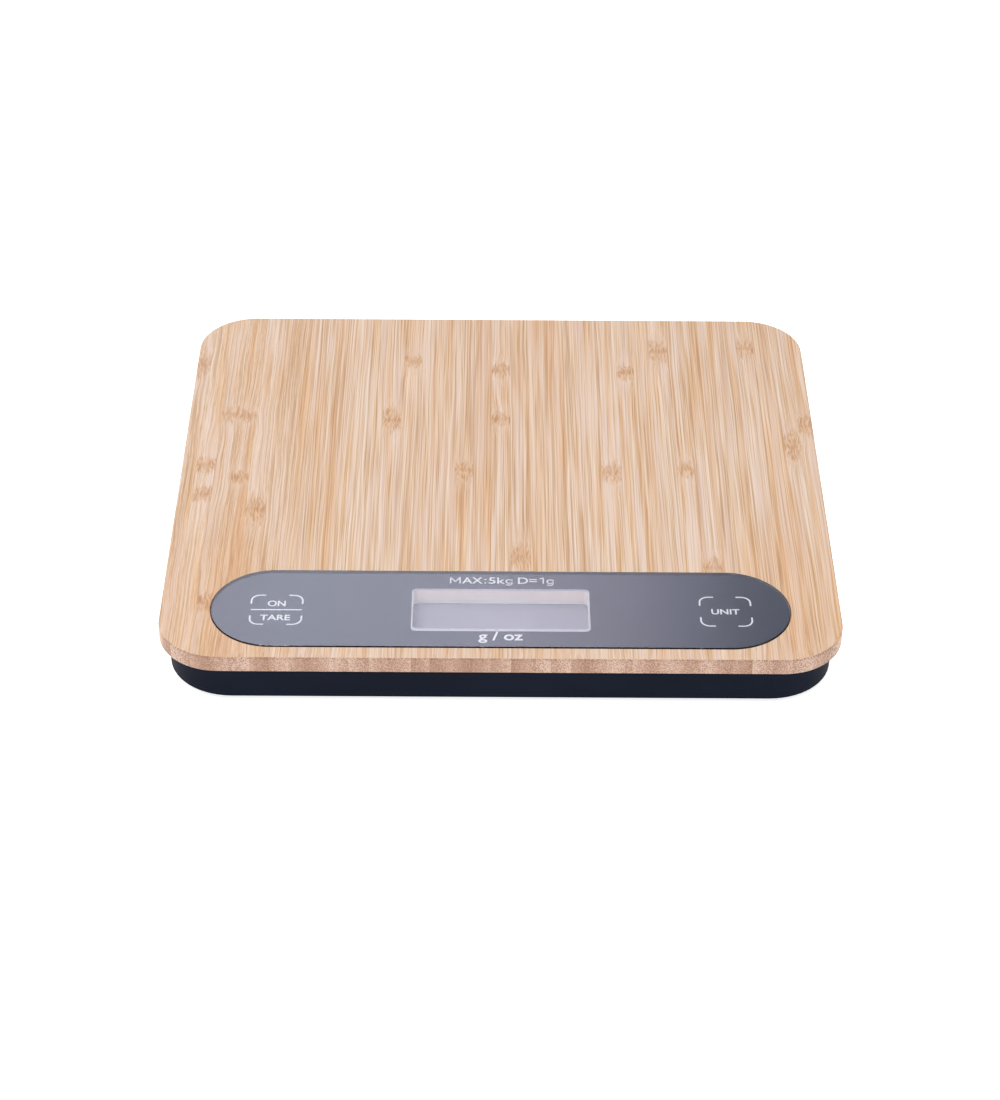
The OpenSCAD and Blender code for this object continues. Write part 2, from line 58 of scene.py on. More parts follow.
def add_camera():
    """The camera stands in front of the scale, a little over half a metre up, and looks down on it."""
    pitch, yaw, roll = (math.radians(angle) for angle in (36.03, 0.28, 0.50))
    front_edge = Vector((0, PLATFORM_LOW.y, PLATFORM_HIGH.z))
    place = front_edge + Vector((-3.75, -670.1, 526.2)) * MM
    turn = Matrix.Rotation(-yaw, 4, "Z") @ Matrix.Rotation(math.pi / 2 - pitch, 4, "X")
    camera = bpy.data.objects.new("camera", bpy.data.cameras.new("camera"))
    camera.data.lens = 97.05
    camera.data.sensor_width = 36
    camera.data.clip_start = 0.01
    camera.matrix_world = Matrix.Translation(place) @ turn @ Matrix.Rotation(roll, 4, "Z")
    bpy.context.collection.objects.link(camera)
    bpy.context.scene.camera = camera


def add_softbox():
    """A large soft lamp above the scale, aimed at its middle from a little in front and to the left."""
    place = Vector((-0.3, -0.25, 1.3))
    light = bpy.data.lights.new("top_softbox", "AREA")
    light.shape = "RECTANGLE"
    light.size, light.size_y = 1.6, 1.4
    light.energy = 14
    lamp = bpy.data.objects.new("top_softbox", light)
    aim = (-place).to_track_quat("-Z", "Y")
    lamp.matrix_world = Matrix.Translation(place) @ aim.to_matrix().to_4x4()
    bpy.context.collection.objects.link(lamp)


def add_floor():
    """A plain square floor, level with the undersides of the feet."""
    reach = 3.0
    mesh = bpy.data.meshes.new("floor")
    corners = [(-reach, -reach, 0), (reach, -reach, 0), (reach, reach, 0), (-reach, reach, 0)]
    mesh.from_pydata(corners, [], [(0, 1, 2, 3)])
    floor = bpy.data.objects.new("floor", mesh)
    bpy.context.collection.objects.link(floor)
    mesh.materials.append(floor_paint())


# ---- Building node trees ----

class Tree:
    """A material's node tree. Each method adds one node and returns its output socket."""

    def __init__(self, name):
        self.material = bpy.data.materials.new(name)
        self.material.use_nodes = True
        self.tree = self.material.node_tree
        self.tree.nodes.clear()
        self.shader = self.add("ShaderNodeBsdfPrincipled")
        self.surface = self.add("ShaderNodeOutputMaterial")
        self.feed(self.surface.inputs["Surface"], self.shader.outputs[0])

    def add(self, kind, **settings):
        node = self.tree.nodes.new(kind)
        for key, value in settings.items():
            setattr(node, key, value)
        return node

    def feed(self, socket, value):
        """Links a socket to the input, or sets the input to a constant."""
        if isinstance(value, bpy.types.NodeSocket):
            self.tree.links.new(value, socket)
        elif value is not None:
            socket.default_value = value

    def set(self, **inputs):
        """Sets the Principled shader's inputs. An underscore in a name stands for a space."""
        for key, value in inputs.items():
            self.feed(self.shader.inputs[key.replace("_", " ")], value)

    def math(self, operation, a, b=None):
        node = self.add("ShaderNodeMath", operation=operation)
        self.feed(node.inputs[0], a)
        self.feed(node.inputs[1], b)
        return node.outputs[0]

    def sum(self, *terms):
        """Adds up terms, each a socket, a number, or a pair of a socket and its weight."""
        total = None
        for term in terms:
            if isinstance(term, tuple):
                term = self.math("MULTIPLY", *term)
            total = term if total is None else self.math("ADD", total, term)
        return total

    def place(self):
        """The x, y and z of a point in the frame, in millimetres."""
        coords = self.add("ShaderNodeTexCoord").outputs["Object"]
        scale = self.add("ShaderNodeVectorMath", operation="SCALE")
        self.feed(scale.inputs[0], coords)
        scale.inputs["Scale"].default_value = 1 / MM
        return self.split(scale.outputs[0])

    def normal(self):
        """The x, y and z of the surface's own normal."""
        return self.split(self.add("ShaderNodeTexCoord").outputs["Normal"])

    def split(self, vector):
        node = self.add("ShaderNodeSeparateXYZ")
        self.feed(node.inputs[0], vector)
        return node.outputs[0], node.outputs[1], node.outputs[2]

    def vector(self, x=0.0, y=0.0, z=0.0):
        node = self.add("ShaderNodeCombineXYZ")
        for socket, value in zip(node.inputs, (x, y, z)):
            self.feed(socket, value)
        return node.outputs[0]

    def cell(self, x, y, z, size):
        """A point in units of a cell of the given size, for a texture that is stretched."""
        return self.vector(*(self.math("DIVIDE", v, s) for v, s in zip((x, y, z), size)))

    def noise(self, vector, detail=2.0, rough=0.5):
        """Cloudy noise with patches about one cell across, mostly from 0.3 to 0.7."""
        node = self.add("ShaderNodeTexNoise")
        self.feed(node.inputs["Vector"], vector)
        node.inputs["Scale"].default_value = 1.0
        node.inputs["Detail"].default_value = detail
        node.inputs["Roughness"].default_value = rough
        return node.outputs["Fac"]

    def spots(self, vector):
        """The distance from the nearest of a field of scattered points, in cells."""
        node = self.add("ShaderNodeTexVoronoi")
        self.feed(node.inputs["Vector"], vector)
        node.inputs["Scale"].default_value = 1.0
        return node.outputs["Distance"]

    def random(self, value):
        """Three numbers from 0 to 1 that depend on a whole number."""
        node = self.add("ShaderNodeTexWhiteNoise", noise_dimensions="1D")
        self.feed(node.inputs["W"], value)
        return self.split(node.outputs["Color"])

    def step(self, value, start, end, low=0.0, high=1.0):
        """Goes smoothly from low to high as value goes from start to end."""
        node = self.add("ShaderNodeMapRange", interpolation_type="SMOOTHSTEP")
        for socket, number in zip(node.inputs, (value, start, end, low, high)):
            self.feed(socket, number)
        return node.outputs[0]

    def ramp(self, value, stops, interpolation="LINEAR"):
        """A colour ramp. Each stop is a place from 0 to 1 and a colour."""
        node = self.add("ShaderNodeValToRGB")
        node.color_ramp.interpolation = interpolation
        elements = node.color_ramp.elements
        while len(elements) < len(stops):
            elements.new(1.0)
        for element, (place, colour) in zip(elements, stops):
            element.position = place
            element.color = (*colour, 1.0)
        self.feed(node.inputs[0], value)
        return node.outputs[0]

    def mix(self, share, a, b, blend="MIX"):
        """Colour a with the given share of b mixed or blended in."""
        node = self.add("ShaderNodeMix", data_type="RGBA", blend_type=blend)
        self.feed(node.inputs["Factor"], share)
        for socket, value in zip((node.inputs[6], node.inputs[7]), (a, b)):
            self.feed(socket, (*value, 1.0) if isinstance(value, tuple) else value)
        return node.outputs[2]

    def bump(self, height, depth_mm, strength=1.0):
        """Drives the shader's normal from a height between 0 and 1."""
        node = self.add("ShaderNodeBump")
        node.inputs["Strength"].default_value = strength
        node.inputs["Distance"].default_value = depth_mm * MM
        self.feed(node.inputs["Height"], height)
        self.set(Normal=node.outputs[0])


def tinted(colour, factor):
    """A lighter or darker tone of a colour."""
    return tuple(min(1.0, c * factor) for c in colour)


# ---- Bamboo ----

STRIP = 5.8  # width of one bamboo strip, mm

# The knots of the platform: strip number, counted from the middle, and place along the strip, mm
KNOTS = [
    (-17, 63), (-16, -11), (-16, 5), (-15, 34), (-15, -67), (-14, 33), (-14, -2), (-13, -19), (-6, 31),
    (-5, 66), (-2, 3), (0, 61), (0, 32), (1, -43), (6, 2), (7, 60), (9, 73), (10, 4), (11, -48),
    (14, 75), (16, 17), (17, 29),
]


def knot_table(t, strip):
    """Looks up where a strip has its knots: two places along it, each far away where there is none.

    The places are kept as colours in a ramp, in which 0 to 1 stands for the whole reach along Y.
    """
    low, high = -18, 18  # the outermost strips
    reach, far = 200.0, -0.5
    stops = []
    for number in range(low, high + 1):
        places = [y / reach + 0.5 for s, y in KNOTS if s == number]
        first = places[0] if places else far
        second = places[1] if len(places) > 1 else far
        if not stops or stops[-1][1][:2] != (first, second):
            stops.append(((number - low) / (high - low + 1), (first, second, 0.0)))
    share = t.math("DIVIDE", t.math("SUBTRACT", strip, low - 0.5), high - low + 1)
    table = t.split(t.ramp(share, stops, "CONSTANT"))
    return [t.math("MULTIPLY", t.math("SUBTRACT", value, 0.5), reach) for value in table[:2]]


def bamboo():
    """Side-pressed bamboo: long strips of fine fibres along Y, with dotted ends."""
    t = Tree("bamboo")
    x, y, z = t.place()
    wander = t.sum(t.noise(t.vector(t.math("DIVIDE", x, 17.0))), -0.5)  # strips differ in width
    position = t.math("ADD", t.math("DIVIDE", t.sum(x, (wander, 3.0)), STRIP), 0.5)
    strip = t.math("FLOOR", position)
    across = t.math("FRACT", position)
    shade, lean, warmth = t.random(strip)
    along = t.sum(y, (strip, 37.0))  # each strip starts at its own place along the grain

    # Knots are ragged lenses as wide as their strip, and bend the fibres around them
    rim = t.math("POWER", t.math("ABSOLUTE", t.sum((across, 2.0), -1.0)), 2.0)
    ragged = t.sum(t.noise(t.cell(x, along, z, (0.6, 9.0, 0.6)), detail=1.0), -0.5)
    joint, core, halo = None, None, None
    stretch = t.sum((lean, 0.9), 0.55)  # some strips have long knots, others short ones
    for place in knot_table(t, strip):
        away = t.math("ABSOLUTE", t.math("SUBTRACT", y, place))
        line = t.step(t.sum(away, (ragged, 5.0), (rim, 0.8)), 1.6, 0.3)
        near = t.step(t.sum(t.math("DIVIDE", away, stretch), (ragged, 11.0), (rim, 2.2)), 7.4, 3.6)
        wide = t.step(t.sum(t.math("DIVIDE", away, stretch), (ragged, 14.0)), 19.0, 4.0)
        joint = line if joint is None else t.math("MAXIMUM", joint, line)
        core = near if core is None else t.math("MAXIMUM", core, near)
        halo = wide if halo is None else t.math("MAXIMUM", halo, wide)
    wild = t.math("MAXIMUM", halo, t.step(x, -52.0, -80.0, 0.0, 0.6))
    swirl = t.math("MULTIPLY", wild, t.sum(t.noise(t.cell(x, y, z, (4.0, 15.0, 4.0)), detail=0.0), -0.5))

    # Fibres, coarse to fine
    sway = t.sum(t.noise(t.cell(x, y, z, (9.0, 60.0, 9.0))), -0.5)
    fibre_x = t.sum(x, (t.math("MULTIPLY", t.sum(lean, -0.5), y), 0.02), (sway, 1.2), (swirl, 1.7))
    coarse = t.noise(t.cell(fibre_x, along, z, (1.3, 210.0, 1.3)), detail=1.0)
    fine = t.noise(t.cell(fibre_x, along, z, (0.3, 85.0, 0.3)), detail=0.0)
    hair = t.noise(t.cell(fibre_x, along, z, (0.16, 24.0, 0.16)), detail=0.0)
    broken = t.noise(t.cell(fibre_x, y, z, (0.42, 5.5, 0.42)), detail=2.0, rough=0.6)
    streak = t.sum((t.math("MULTIPLY", wild, t.math("SUBTRACT", broken, fine)), 0.8), fine)
    tone = t.sum((coarse, 0.16), (streak, 0.44), (hair, 0.40), (t.sum(shade, -0.5), 0.05))
    colour = t.ramp(tone, [
        (0.36, (0.52, 0.31, 0.17)), (0.45, (0.64, 0.43, 0.27)), (0.51, (0.71, 0.515, 0.355)),
        (0.57, (0.755, 0.58, 0.43)), (0.64, (0.80, 0.655, 0.53)),
    ])
    pale = t.noise(t.cell(fibre_x, along, z, (2.2, 60.0, 2.2)), detail=1.0)
    colour = t.mix(t.step(pale, 0.47, 0.66, 0.0, 0.5), colour, (0.755, 0.605, 0.52))
    rich = t.noise(t.cell(fibre_x, t.sum(along, 400.0), z, (2.6, 90.0, 2.6)), detail=1.0)
    colour = t.mix(t.step(rich, 0.48, 0.66, 0.0, 0.7), colour, (0.97, 0.83, 0.64), "MULTIPLY")
    colour = t.mix(t.step(warmth, 0.5, 1.0, 0.0, 0.25), colour, (0.92, 0.72, 0.50), "MULTIPLY")
    vein = t.noise(t.cell(fibre_x, t.sum(along, 900.0), z, (0.45, 70.0, 0.45)), detail=0.0)
    colour = t.mix(t.step(vein, 0.38, 0.28, 0.0, 0.5), colour, (0.50, 0.285, 0.14))

    # Knots: pale wood with a core of short dark strokes
    colour = t.mix(t.math("MULTIPLY", halo, 0.22), colour, (0.76, 0.60, 0.50))
    stroke_x = t.sum(fibre_x, (t.noise(t.cell(x, y, z, (2.2, 5.0, 2.2)), detail=1.0), 2.2))
    stroke = t.step(t.noise(t.cell(stroke_x, y, z, (0.42, 4.2, 0.42)), detail=1.0), 0.38, 0.62)
    knot = t.mix(stroke, (0.49, 0.26, 0.12), (0.72, 0.465, 0.275))
    colour = t.mix(t.math("MULTIPLY", core, t.step(coarse, 0.35, 0.65, 0.9, 0.55)), colour, knot)
    colour = t.mix(t.math("MULTIPLY", joint, 0.3), colour, (0.46, 0.235, 0.11))
    seam = t.step(t.math("ABSOLUTE", t.sum(across, -0.5)), 0.475, 0.498)
    colour = t.mix(t.math("MULTIPLY", seam, 0.22), colour, (0.45, 0.26, 0.14))

    # The front corners, where hands lift the scale, have darkened to a warmer tone
    handled = t.math("MULTIPLY", t.step(t.math("ABSOLUTE", x), 55.0, 80.0), t.step(y, 0.0, -55.0))
    colour = t.mix(handled, colour, (0.985, 0.93, 0.87), "MULTIPLY")

    # Ends of the strips: dots of fibre bundles that crowd towards one side of each strip
    end = t.step(t.math("ABSOLUTE", t.normal()[1]), 0.25, 0.55)
    flipped = t.math("ABSOLUTE", t.math("SUBTRACT", across, t.math("GREATER_THAN", warmth, 0.5)))
    bundle = t.spots(t.cell(x, along, z, (0.43, 300.0, 0.40)))
    dot = t.step(t.math("SUBTRACT", bundle, t.sum((flipped, 0.14), 0.36)), 0.1, -0.06)
    pith = t.ramp(t.sum((shade, 0.5), (t.math("SUBTRACT", 1.0, flipped), 0.3), (coarse, 0.2)), [
        (0.2, (0.42, 0.25, 0.17)), (0.5, (0.515, 0.335, 0.245)), (0.8, (0.61, 0.425, 0.33)),
    ])
    ends = t.mix(t.math("MULTIPLY", dot, 0.76), pith, (0.25, 0.125, 0.07))
    colour = t.mix(end, colour, ends)

    # Painted reflection haze: the walls of the window's hole, seen through the glass, are painted pale,
    # with a soft edge
    middle = box_mm("lcd_polarizer")[0]
    half_w, half_d, soft = 26.5, 11.1, 0.1
    across_hole = t.step(t.math("ABSOLUTE", x), half_w + soft, half_w - soft)
    along_hole = t.step(t.math("ABSOLUTE", t.sum(y, -middle.y)), half_d + soft, half_d - soft)
    hole_wall_haze = t.math("MULTIPLY", across_hole, along_hole)
    colour = t.mix(t.math("MULTIPLY", hole_wall_haze, 0.85), colour, (0.96, 0.86, 0.83))

    relief = t.sum((fine, 0.6), (hair, 0.4), (t.math("MULTIPLY", dot, end), -0.4), (seam, -0.3))
    t.bump(relief, 0.05, 0.4)
    t.set(Base_Color=colour, Roughness=t.sum((hair, 0.2), 0.45), IOR=1.45)
    return t.material


# ---- Panel ----

def clear_glass():
    """Clear float glass. Lamps shine through it, so that the display under it is lit."""
    t = Tree("panel_glass")
    t.set(Base_Color=(0.97, 0.99, 1.0, 1.0), Roughness=0.02, IOR=1.5, Transmission_Weight=1.0)
    open_ = t.add("ShaderNodeBsdfTransparent")
    path = t.add("ShaderNodeLightPath")
    mix = t.add("ShaderNodeMixShader")
    t.feed(mix.inputs[0], path.outputs["Is Shadow Ray"])
    t.feed(mix.inputs[1], t.shader.outputs[0])
    t.feed(mix.inputs[2], open_.outputs[0])
    t.feed(t.surface.inputs["Surface"], mix.outputs[0])
    return t.material


def black_print():
    """The dark screen print behind the glass, with the odd pinhole."""
    t = Tree("black_print")
    x, y, z = t.place()
    weave = t.noise(t.cell(x, y, z, (0.3, 0.3, 0.3)), detail=1.0)
    drift = t.noise(t.cell(x, y, z, (40.0, 24.0, 30.0)), detail=1.0)
    colour = t.ramp(t.sum((weave, 0.25), (drift, 0.75)), [
        (0.3, (0.020, 0.021, 0.028)), (0.7, (0.026, 0.027, 0.035)),
    ])
    pinhole = t.step(t.spots(t.cell(x, y, z, (11.0, 11.0, 11.0))), 0.03, 0.015)
    t.set(Base_Color=t.mix(pinhole, colour, (0.09, 0.09, 0.11)), Roughness=t.sum((weave, 0.1), 0.4))
    return t.material


def lcd_film():
    """The display's satin polarizer: unlit, greyish lavender, with faint lines of its rubbing."""
    t = Tree("lcd_film")
    x, y, z = t.place()
    lines = t.noise(t.cell(x, y, z, (12.0, 0.35, 1.0)), detail=2.0)
    drift = t.noise(t.cell(x, y, z, (16.0, 9.0, 1.0)), detail=1.0)
    colour = t.ramp(t.sum((lines, 0.45), (drift, 0.55)), [
        (0.3, (0.215, 0.203, 0.237)), (0.7, (0.26, 0.248, 0.288)),
    ])
    t.bump(lines, 0.01, 0.4)
    t.set(Base_Color=colour, Roughness=0.45)
    return t.material


def foam(name, colour, cell_mm=0.35):
    """Fine-celled soft foam with darker pores."""
    t = Tree(name)
    x, y, z = t.place()
    pores = t.spots(t.cell(x, y, z, (cell_mm,) * 3))
    shade = t.step(pores, 0.1, 0.7)
    t.bump(shade, 0.1, 0.6)
    t.set(Base_Color=t.mix(shade, tinted(colour, 0.75), tinted(colour, 1.1)), Roughness=0.9)
    return t.material


# ---- Plastics, rubber and metals ----

def plastic(name, colour, rough=0.5, grain_mm=0.25, depth_mm=0.02, specular=0.4):
    """Moulded plastic with a fine eroded grain and a slight drift of tone."""
    t = Tree(name)
    x, y, z = t.place()
    grain = t.noise(t.cell(x, y, z, (grain_mm,) * 3), detail=2.0)
    drift = t.noise(t.cell(x, y, z, (26.0, 26.0, 12.0)), detail=2.0)
    shade = t.sum((grain, 0.35), (drift, 0.65))
    t.bump(grain, depth_mm, 0.6)
    t.set(
        Base_Color=t.mix(t.step(shade, 0.3, 0.7), tinted(colour, 0.86), tinted(colour, 1.14)),
        Roughness=t.sum((grain, 0.16), (drift, 0.1), rough - 0.13),
        Specular_IOR_Level=specular,
    )
    return t.material


def rubber(name, colour):
    """Matte rubber with a coarse skin and patches of dust."""
    t = Tree(name)
    x, y, z = t.place()
    grain = t.noise(t.cell(x, y, z, (0.5, 0.5, 0.5)), detail=3.0, rough=0.6)
    dust = t.noise(t.cell(x, y, z, (6.0, 6.0, 3.0)), detail=3.0)
    t.bump(grain, 0.04, 0.6)
    t.set(
        Base_Color=t.mix(t.step(dust, 0.45, 0.75), colour, tinted(colour, 1.9)),
        Roughness=t.sum((grain, 0.2), 0.65),
        Specular_IOR_Level=0.3,
    )
    return t.material


def metal(name, colour, rough=0.3, along=(4.0, 0.2, 0.2)):
    """Brushed or plated metal. The brushing runs along the longest side of its cell."""
    t = Tree(name)
    x, y, z = t.place()
    lines = t.noise(t.cell(x, y, z, along), detail=2.0)
    stain = t.noise(t.cell(x, y, z, (5.0, 5.0, 5.0)), detail=3.0)
    t.bump(lines, 0.01, 0.5)
    t.set(
        Base_Color=t.mix(t.step(stain, 0.35, 0.7), tinted(colour, 0.82), tinted(colour, 1.08)),
        Metallic=1.0,
        Roughness=t.sum((lines, 0.18), (stain, 0.1), rough - 0.14),
    )
    return t.material


def circuit_board():
    """Green solder mask over raised copper tracks."""
    t = Tree("circuit_board")
    x, y, z = t.place()
    brick = t.add("ShaderNodeTexBrick", offset=0.5, squash=0.6)
    t.feed(brick.inputs["Vector"], t.cell(x, y, z, (9.0, 4.0, 4.0)))
    brick.inputs["Scale"].default_value = 1.0
    brick.inputs["Mortar Size"].default_value = 0.04
    track = brick.outputs["Fac"]
    grain = t.noise(t.cell(x, y, z, (0.4, 0.4, 0.4)))
    t.bump(t.sum((track, 0.8), (grain, 0.2)), 0.04, 0.8)
    mask = t.mix(track, (0.012, 0.11, 0.035), (0.03, 0.20, 0.07))
    t.set(Base_Color=mask, Roughness=t.sum((grain, 0.2), 0.2))
    return t.material


def silver_label():
    """A blank foil label with a thin printed border."""
    t = Tree("silver_label")
    x, y, z = t.place()
    middle, half = box_mm("rating_label")
    across = t.math("SUBTRACT", half.x, t.math("ABSOLUTE", t.sum(x, -middle.x)))
    down = t.math("SUBTRACT", half.y, t.math("ABSOLUTE", t.sum(y, -middle.y)))
    inset = 1.6  # of the border line from the label's edge
    border = t.step(t.math("ABSOLUTE", t.sum(t.math("MINIMUM", across, down), -inset)), 0.2, 0.12)
    fibres = t.noise(t.cell(x, y, z, (2.5, 0.15, 0.15)), detail=2.0)
    foil = t.mix(fibres, (0.50, 0.50, 0.51), (0.64, 0.64, 0.65))
    t.bump(fibres, 0.01, 0.3)
    printed = t.mix(border, foil, (0.04, 0.04, 0.045))
    t.set(Base_Color=printed, Roughness=t.sum((fibres, 0.2), 0.3), Metallic=0.35)
    return t.material


def floor_paint():
    """Matte white studio floor, lit from below as well, so that shadows on it stay faint."""
    t = Tree("floor_paint")
    x, y, z = t.place()
    grain = t.noise(t.cell(x, y, z, (3.0, 3.0, 3.0)), detail=3.0)
    white = t.mix(grain, (0.90, 0.90, 0.90), (0.93, 0.93, 0.93))
    t.set(Base_Color=white, Roughness=0.8, Specular_IOR_Level=0.2)
    t.set(Emission_Color=(1.0, 1.0, 1.0, 1.0), Emission_Strength=0.8)
    return t.material


def materials():
    """One finished material for each of the record's material slots."""
    return {
        "bamboo": bamboo(),
        "panel_glass": clear_glass(),
        "black_print": black_print(),
        "gasket_foam": foam("gasket_foam", (0.38, 0.38, 0.41)),
        "lcd_film": lcd_film(),
        "lcd_glass": plastic("lcd_glass", (0.35, 0.42, 0.42), rough=0.15, depth_mm=0.002),
        "reflector_foil": metal("reflector_foil", (0.75, 0.75, 0.76), rough=0.4),
        "white_plastic": plastic("white_plastic", (0.78, 0.78, 0.75)),
        "connector_rubber": rubber("connector_rubber", (0.62, 0.34, 0.34)),
        "circuit_board": circuit_board(),
        "black_epoxy": plastic("black_epoxy", (0.02, 0.02, 0.02), rough=0.4),
        "nickel_steel": metal("nickel_steel", (0.80, 0.78, 0.74), rough=0.25),
        "tan_ceramic": plastic("tan_ceramic", (0.42, 0.27, 0.15), rough=0.6),
        "base_plastic": plastic("base_plastic", (0.0062, 0.0092, 0.0186), rough=0.55, specular=0.04),
        "gray_foam": foam("gray_foam", (0.20, 0.20, 0.21), 0.5),
        "red_insulation": plastic("red_insulation", (0.50, 0.03, 0.02), rough=0.35, depth_mm=0.005),
        "white_insulation": plastic("white_insulation", (0.75, 0.75, 0.72), rough=0.35, depth_mm=0.005),
        "silver_label": silver_label(),
        "zinc_steel": metal("zinc_steel", (0.66, 0.67, 0.70), rough=0.32, along=(0.3, 0.3, 0.3)),
        "copper_pad": metal("copper_pad", (0.80, 0.50, 0.30), rough=0.3, along=(0.5, 0.5, 0.5)),
        "ivory_plastic": plastic("ivory_plastic", (0.74, 0.70, 0.58)),
        "foot_rubber": rubber("foot_rubber", (0.020, 0.021, 0.024)),
        "foot_plastic": plastic("foot_plastic", (0.012, 0.013, 0.016), rough=0.5),
        "cell_steel": metal("cell_steel", (0.56, 0.57, 0.60), rough=0.35),
        "gauge_coating": rubber("gauge_coating", (0.70, 0.70, 0.68)),
        "holder_plastic": plastic("holder_plastic", (0.016, 0.017, 0.021)),
    }


def dress_nodes():
    """Gives each CAD node the material of its slot."""
    finished = materials()
    for subpart in frame["record"]["subparts"]:
        node = frame["nodes"][subpart["node"]]
        for slot in node.material_slots:
            slot.material = finished[subpart["material_slot"]]


# ---- White marks on the panel ----

MARK_T = 0.02 * MM
MARK_Z = GLASS_LOW.z + MARK_T  # the marks are printed on the underside of the glass
STROKE = 0.52  # width of the bracket lines, mm


def mark_paint():
    """White screen-printing ink, with a trace of the screen's mesh."""
    t = Tree("mark_paint")
    x, y, z = t.place()
    mesh = t.noise(t.cell(x, y, z, (0.12, 0.12, 0.12)), detail=1.0)
    t.set(Base_Color=t.mix(mesh, (0.66, 0.66, 0.69), (0.76, 0.76, 0.79)), Roughness=0.5)
    return t.material


def finish_mark(piece, paint):
    """Paints a mark and fixes it to the case."""
    piece.data.materials.clear()
    piece.data.materials.append(paint)
    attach(piece, "case")


def line_mark(name, paths, paint, stroke=STROKE):
    """Flat ribbons of the stroke's width along open paths in the panel's plane, with round ends."""
    vertices, faces = [], []
    half = stroke / 2 * MM
    for path in paths:
        points = [Vector((x, y, 0)) * MM for x, y in path]
        left, right = [], []
        for i, point in enumerate(points):
            ahead = points[min(i + 1, len(points) - 1)] - points[max(i - 1, 0)]
            side = Vector((-ahead.y, ahead.x, 0)).normalized() * half
            left.append(point + side)
            right.append(point - side)
        outline = left + round_end(points[-1], left[-1]) + right[::-1] + round_end(points[0], right[0])
        start, count = len(vertices), len(outline)
        for height in (MARK_Z, MARK_Z + MARK_T):
            vertices += [(p.x, p.y, height) for p in outline]
        faces.append([start + count + i for i in range(count)])
        faces.append([start + i for i in reversed(range(count))])
        for i in range(count):
            j = (i + 1) % count
            faces.append([start + i, start + j, start + count + j, start + count + i])
    mesh = bpy.data.meshes.new(name)
    mesh.from_pydata(vertices, [], faces)
    piece = bpy.data.objects.new(name, mesh)
    bpy.context.collection.objects.link(piece)
    finish_mark(piece, paint)


def round_end(centre, first, steps=6):
    """Points on a half circle, clockwise around centre from first, without its two ends."""
    arm = first - centre
    return [centre + Matrix.Rotation(-math.pi * k / steps, 3, "Z") @ arm for k in range(1, steps)]


def corner_path(x, y, sign_x, sign_y, arm, radius, steps=8):
    """One corner bracket: two arms that meet in an arc. x and y are the sharp corner's place."""
    path = [(x - sign_x * arm, y)]
    for k in range(steps + 1):
        angle = math.pi / 2 * k / steps
        back_x, back_y = radius * (1 - math.sin(angle)), radius * (1 - math.cos(angle))
        path.append((x - sign_x * back_x, y - sign_y * back_y))
    path.append((x, y - sign_y * arm))
    return path


def brackets(centre, width, depth, arm=4.0, radius=2.6):
    """Paths of four corner brackets around a touch key."""
    half_w, half_d = (width - STROKE) / 2, (depth - STROKE) / 2
    return [
        corner_path(centre[0] + sx * half_w, centre[1] + sy * half_d, sx, sy, arm, radius)
        for sx in (-1, 1) for sy in (-1, 1)
    ]


def strokes(*points):
    """Each leg of a broken line as a path of its own."""
    return [[a, b] for a, b in zip(points, points[1:])]


def small_g(x, base, half_stroke=0.2, radius=0.9, hook=0.75, steps=20):
    """Paths of a plain small g: a round bowl that stands on the base line, and a hooked tail."""
    y = base + half_stroke + radius
    turns = [2 * math.pi * k / steps for k in range(steps + 1)]
    bowl = [(x + radius * math.cos(angle), y + radius * math.sin(angle)) for angle in turns]
    right, low = x + radius, base + 0.05
    curl = [(right - hook * (1 - math.cos(angle)), low - hook * math.sin(angle)) for angle in turns[:6]]
    return [bowl, [(right, y + radius)] + curl + [(x - radius + 0.1, low - hook + 0.1)]]


def word_mark(name, text, centre, width, cap_height, paint, weight=0.02):
    """A word in the built-in font, made into a mesh of the given width and capital height, mm."""
    curve = bpy.data.curves.new(name, "FONT")
    curve.body = text
    curve.offset = weight
    curve.extrude = 0.5
    curve.resolution_u = 6
    source = bpy.data.objects.new(name + "_curve", curve)
    bpy.context.collection.objects.link(source)
    bpy.context.view_layer.update()
    mesh = bpy.data.meshes.new_from_object(source.evaluated_get(bpy.context.evaluated_depsgraph_get()))
    bpy.data.objects.remove(source)
    xs = [v.co.x for v in mesh.vertices]
    cap = 0.73  # height of this font's capitals at size 1
    shift = Matrix.Translation((-(min(xs) + max(xs)) / 2, -cap / 2, 0.5))
    scale = Matrix.Diagonal((width * MM / (max(xs) - min(xs)), cap_height * MM / cap, MARK_T, 1))
    move = Matrix.Translation((centre[0] * MM, centre[1] * MM, MARK_Z))
    mesh.transform(move @ scale @ shift)
    piece = bpy.data.objects.new(name, mesh)
    bpy.context.collection.objects.link(piece)
    finish_mark(piece, paint)


